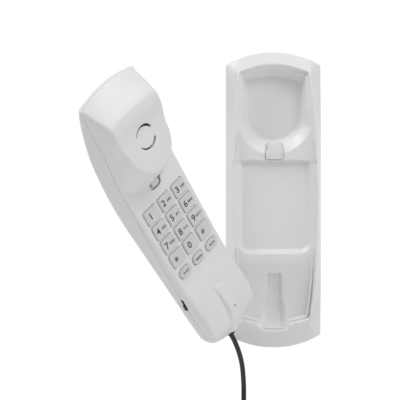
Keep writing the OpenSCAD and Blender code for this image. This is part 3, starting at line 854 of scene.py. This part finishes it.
def curl_axis(s):
    """Point and heading on the folded centre line of the curled part, s in millimetres from its start"""
    first = CURL_TOP - BEND_Z
    bend = math.pi * BEND_R
    if s < first:
        return np.array([CURL_X, CURL_Y, CURL_TOP - s]), np.array([0, 0, -1.0])
    if s < first + bend:
        a = (s - first) / BEND_R
        return (np.array([CURL_X + BEND_R - BEND_R * math.cos(a), CURL_Y, BEND_Z - BEND_R * math.sin(a)]),
                np.array([math.sin(a), 0, -math.cos(a)]))
    return np.array([CURL_X + 2 * BEND_R, CURL_Y, BEND_Z + s - first - bend]), np.array([0, 0, 1.0])


def curl_route(pitch, radius):
    """The helix along the folded centre line, easing out from and back to it at the ends"""
    total = (CURL_TOP - BEND_Z) + math.pi * BEND_R + (CURL_END - BEND_Z)
    count = int(total / pitch * CURL_STEPS)
    made = []
    for k in range(1, count):
        s = total * k / count
        centre, heading = curl_axis(s)
        side = np.array([0, 1.0, 0])
        other = np.cross(heading, side)
        r = radius * float(smoothstep(min(s, total - s) / CURL_EASE))
        a = 2 * math.pi * s / pitch
        made.append(centre + r * (math.cos(a) * other + math.sin(a) * side))
    return np.array(made)


class TELEPHONE_OT_cord(bpy.types.Operator):
    """Black handset cord: straight lead, curled part folded in two, and tail to the plug"""
    bl_idname = "telephone.cord"
    bl_label = "Cord"

    def execute(self, context):
        diameter = settings().cord_diameter / MM
        helix = curl_route(settings().curl_pitch / MM, (CURL_OUTER - diameter) / 2 - 0.1)
        line = np.vstack([eased_route(LEAD), helix, eased_route(TAIL)]) * MM
        curve = bpy.data.curves.new("handset_cord", "CURVE")
        curve.dimensions = "3D"
        curve.bevel_depth = settings().cord_diameter / 2
        curve.bevel_resolution = 3
        curve.use_fill_caps = True
        spline = curve.splines.new("POLY")
        spline.points.add(len(line) - 1)
        for point, co in zip(spline.points, line):
            point.co = (*co, 1)
        spline.use_smooth = True
        obj = linked("handset_cord", curve)
        curve.materials.append(made_of("black_extruded_pvc"))
        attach(obj, "handset")
        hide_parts("cord_lead", "cord_curl", "cord_tail")
        return {"FINISHED"}


# ---- repeated parts by Geometry Nodes

WIRE = 0.0005


def node_group(name, inputs):
    """An empty Geometry Nodes tree with named size inputs"""
    tree = bpy.data.node_groups.new(name, "GeometryNodeTree")
    tree.interface.new_socket("Geometry", in_out="INPUT", socket_type="NodeSocketGeometry")
    tree.interface.new_socket("Geometry", in_out="OUTPUT", socket_type="NodeSocketGeometry")
    for label, value in inputs.items():
        socket = tree.interface.new_socket(label, in_out="INPUT", socket_type="NodeSocketFloat")
        socket.default_value = value
    return tree, add_node(tree, "NodeGroupInput"), add_node(tree, "NodeGroupOutput")


def instances_out(tree, start, end, shape, turn, finish):
    """Places a shape on the incoming points, turned, then ends the tree as the export needs it"""
    on_points = add_node(tree, "GeometryNodeInstanceOnPoints", {"Rotation": turn},
                         {"Points": start.outputs["Geometry"], "Instance": shape})
    real = add_node(tree, "GeometryNodeRealizeInstances",
                    links={"Geometry": on_points.outputs["Instances"]})
    painted = add_node(tree, "GeometryNodeSetMaterial", {"Material": finish},
                       {"Geometry": real.outputs["Geometry"]})
    tree.links.new(painted.outputs["Geometry"], end.inputs["Geometry"])


def scattered(name, points, tree, values):
    """Runs a tree on a cloud of points and returns the result as a plain mesh object"""
    obj = bare(name, points)
    modifier = obj.modifiers.new(name, "NODES")
    modifier.node_group = tree
    for item in tree.interface.items_tree:
        if item.in_out == "INPUT" and item.name in values:
            modifier[item.identifier] = values[item.name]
    apply_modifiers(obj)
    return obj


def moved_down(tree, part, depth, turn=0.0):
    """Moves a part down its own Z by a depth socket, if there is one, and turns it about Z"""
    links = {"Geometry": part}
    if depth is not None:
        down = add_node(tree, "ShaderNodeCombineXYZ", links={"Z": depth})
        links["Translation"] = down.outputs[0]
    return add_node(tree, "GeometryNodeTransform", {"Rotation": (0, 0, turn)}, links).outputs["Geometry"]


def screw_tree(finish, turn):
    """A pan-head screw with a cross recess, head outwards along its own Z"""
    sizes = {"Head radius": 0.0026, "Head height": 0.001, "Shank radius": 0.0012, "Shank length": 0.008}
    tree, start, end = node_group("screws", sizes)
    head = add_node(tree, "GeometryNodeMeshCylinder", {"Vertices": 32, "Side Segments": 2},
                    {"Radius": start.outputs["Head radius"], "Depth": start.outputs["Head height"]})
    shank = add_node(tree, "GeometryNodeMeshCylinder", {"Vertices": 20},
                     {"Radius": start.outputs["Shank radius"], "Depth": start.outputs["Shank length"]})
    half, reach = [add_node(tree, "ShaderNodeMath", {1: -0.5}, {0: start.outputs[length]},
                            operation="MULTIPLY").outputs[0] for length in ("Head height", "Shank length")]
    total = add_node(tree, "ShaderNodeMath", links={0: reach, 1: half}, operation="ADD").outputs[0]
    crossed = add_node(tree, "GeometryNodeMeshBoolean",
                       links={"Mesh 1": moved_down(tree, head.outputs["Mesh"], half)},
                       operation="DIFFERENCE", solver="EXACT")
    for turned in (0.0, math.pi / 2):
        blade = add_node(tree, "GeometryNodeMeshCube", {"Size": (0.0030, 0.0006, 0.0009)})
        tree.links.new(moved_down(tree, blade.outputs["Mesh"], None, turned), crossed.inputs["Mesh 2"])
    whole = add_node(tree, "GeometryNodeJoinGeometry", links={"Geometry": crossed.outputs["Mesh"]})
    tree.links.new(moved_down(tree, shank.outputs["Mesh"], total), whole.inputs["Geometry"])
    instances_out(tree, start, end, whole.outputs["Geometry"], turn, finish)
    return tree


def box_tree(name, size, finish, turn):
    """A small block on each point, for contact wires"""
    tree, start, end = node_group(name, {"Width": size[0], "Depth": size[1], "Height": size[2]})
    extent = add_node(tree, "ShaderNodeCombineXYZ",
                      links={axis: start.outputs[axis_size] for axis, axis_size in
                             (("X", "Width"), ("Y", "Depth"), ("Z", "Height"))})
    block = add_node(tree, "GeometryNodeMeshCube", links={"Size": extent.outputs[0]})
    instances_out(tree, start, end, block.outputs["Mesh"], turn, finish)
    return tree


class TELEPHONE_OT_fasteners(bpy.types.Operator):
    """Screws of the base and the handset"""
    bl_idname = "telephone.fasteners"
    bl_label = "Screws"

    def execute(self, context):
        finish = made_of("zinc_plated_steel")
        outward = (math.radians(-90), 0, 0)
        base_points = [Vector((x, -0.25, z)) * MM for x in (-19, 19) for z in (20, -46)]
        base = scattered("base_plate_screws", base_points, screw_tree(finish, outward),
                         {"Head radius": 0.0027, "Head height": 0.0008, "Shank length": 0.011})
        finished(base, finish, "wall_base", ["base_screws"], 30)
        spots = [(0, 20.0, 26), (-16, 22.5, -130), (16, 22.5, -130)]
        turn = (HANDSET.to_3x3() @ Matrix.Rotation(math.radians(-90), 3, "X")).to_euler()
        hand = scattered("handset_case_screws", placed(spots, HANDSET), screw_tree(finish, tuple(turn)),
                         {"Head radius": 0.0026, "Head height": 0.001, "Shank length": 0.0085})
        finished(hand, finish, "handset", ["handset_screws"], 30)
        return {"FINISHED"}


class TELEPHONE_OT_contacts(bpy.types.Operator):
    """Gold contact wires of both sockets and the plug"""
    bl_idname = "telephone.contacts"
    bl_label = "Contacts"

    def execute(self, context):
        finish = made_of("gold_plated_contacts")
        for node, body in (("line_jack_contacts", "wall_base"), ("handset_jack_contacts", "wall_base"),
                           ("plug_contacts", "handset")):
            low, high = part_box(node)
            size = high - low
            step = (size.x - WIRE) / 3
            centre = (low + high) / 2
            points = [(low.x + WIRE / 2 + k * step, centre.y, centre.z) for k in range(4)]
            tree = box_tree(node + "_tree", (WIRE, size.y, size.z), finish, (0, 0, 0))
            obj = scattered(node + "_wires", points, tree, {})
            finished(obj, finish, body, [node], 30)
        return {"FINISHED"}


# ---- carried-over pieces

class TELEPHONE_OT_carried(bpy.types.Operator):
    """Finishes of the pieces whose CAD shape is already right"""
    bl_idname = "telephone.carried"
    bl_label = "Carried-over pieces"

    def execute(self, context):
        carried = {
            "black_moulded_rubber": ["base_feet", "cord_grommet", "microphone_boot", "receiver_gasket"],
            "black_moulded_nylon": ["line_jack", "handset_jack", "ringer_switch_body", "ringer_switch_knob",
                                    "hook_switch_body", "cord_tie", "board_components"],
            "pale_silicone_mat": ["keypad_mat"],
            "green_solder_mask": ["main_board", "jack_board"],
            "zinc_plated_steel": ["board_screws"],
            "pressed_aluminium_can": ["receiver_capsule", "microphone_capsule"],
            "bare_brass_disc": ["ringer_disc"],
            "clear_polycarbonate_plug": ["cord_plug"],
        }
        finishes = [(shell_abs(), node) for node in ("base_back_plate", "hook_plunger")]
        finishes += [(made_of(name), node) for name, nodes in carried.items() for node in nodes]
        for finish, node in finishes:
            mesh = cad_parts[node].data
            mesh.materials.clear()
            mesh.materials.append(finish)
        return {"FINISHED"}


# ---- stage

CAMERA_AT = (-0.0511, -0.797, -0.0001)
SENSOR, LENS = 36, 101.52
FLOOR_HALF, FLOOR_Z = 1.15, -0.36
AIM = (-0.04, -0.05, 0)
# name, place, size and power of each light
LIGHTS = [("key_light", (0.42, -0.70, 1.02), 0.55, 5.0), ("left_light", (-0.72, -0.28, 1.05), 0.4, 5.2),
          ("side_light", (1.2, -0.5, 0.1), 0.5, 1.4)]


class TELEPHONE_OT_stage(bpy.types.Operator):
    """Pale floor, soft studio lights and the camera"""
    bl_idname = "telephone.stage"
    bl_label = "Stage"

    def execute(self, context):
        scene = context.scene
        camera = bpy.data.cameras.new("camera")
        camera.sensor_width = SENSOR
        camera.lens = LENS
        camera.clip_start = 0.01
        view = linked("camera", camera)
        view.location = CAMERA_AT
        view.rotation_euler = (math.radians(90), 0, 0)
        scene.camera = view
        scene.view_settings.view_transform = "Standard"
        corners = [(x * FLOOR_HALF, y * FLOOR_HALF, FLOOR_Z)
                   for x, y in ((-1, -1), (1, -1), (1, 1), (-1, 1))]
        floor = bare("floor", corners, [(0, 1, 2, 3)])
        floor.data.materials.append(material("pale_studio_floor", linear("#f4f4f4"), 0.9, grain=0.0,
                                             tint=0.01))
        scene.world = self.studio_world()
        for light in LIGHTS:
            self.lamp(*light)
        return {"FINISHED"}

    @staticmethod
    def studio_world():
        """A white backdrop behind the object, with softer light from everywhere else"""
        world = bpy.data.worlds.new("studio")
        world.use_nodes = True
        tree = world.node_tree
        tree.nodes.clear()
        place = add_node(tree, "ShaderNodeTexCoord")
        parts = add_node(tree, "ShaderNodeSeparateXYZ", links={"Vector": place.outputs["Generated"]})
        behind = add_node(tree, "ShaderNodeMapRange",
                          {"From Min": 0.35, "From Max": 0.8, "To Min": 0.44, "To Max": 1.02},
                          {"Value": parts.outputs["Y"]})
        backdrop = add_node(tree, "ShaderNodeBackground", {"Color": (1, 1, 1, 1)},
                            {"Strength": behind.outputs["Result"]})
        add_node(tree, "ShaderNodeOutputWorld", links={"Surface": backdrop.outputs["Background"]})
        return world

    @staticmethod
    def lamp(name, at, size, power):
        """A round soft light aimed at the object"""
        light = bpy.data.lights.new(name, "AREA")
        light.shape = "DISK"
        light.size = size
        light.energy = power
        obj = linked(name, light)
        obj.location = at
        obj.rotation_euler = (Vector(AIM) - Vector(at)).to_track_quat("-Z", "Y").to_euler()


# ---- panel and registration

STEPS = [TELEPHONE_OT_stage, TELEPHONE_OT_cord, TELEPHONE_OT_base_shell, TELEPHONE_OT_hanger,
         TELEPHONE_OT_front_shell, TELEPHONE_OT_notch_well, TELEPHONE_OT_switch_window,
         TELEPHONE_OT_back_shell, TELEPHONE_OT_keys, TELEPHONE_OT_fasteners, TELEPHONE_OT_contacts,
         TELEPHONE_OT_carried]


class TELEPHONE_PT_panel(bpy.types.Panel):
    """Sizes, colours and steps of the telephone"""
    bl_idname = "TELEPHONE_PT_panel"
    bl_label = "Wall telephone"
    bl_space_type = "VIEW_3D"
    bl_region_type = "UI"
    bl_category = "Telephone"

    def draw(self, context):
        for name in ("shell_colour", "key_colour", "key_corner", "cord_diameter", "curl_pitch"):
            self.layout.prop(context.scene.telephone, name)
        for step in STEPS:
            self.layout.operator(step.bl_idname)


CLASSES = [TelephoneSettings, *STEPS, TELEPHONE_PT_panel]


def register():
    for cls in CLASSES:
        bpy.utils.register_class(cls)
    bpy.types.Scene.telephone = PointerProperty(type=TelephoneSettings)


def unregister():
    del bpy.types.Scene.telephone
    for cls in reversed(CLASSES):
        bpy.utils.unregister_class(cls)


def main():
    register()
    for step in STEPS:
        group, name = step.bl_idname.split(".")
        getattr(getattr(bpy.ops, group), name)()


if __name__ == "__main__":
    main()
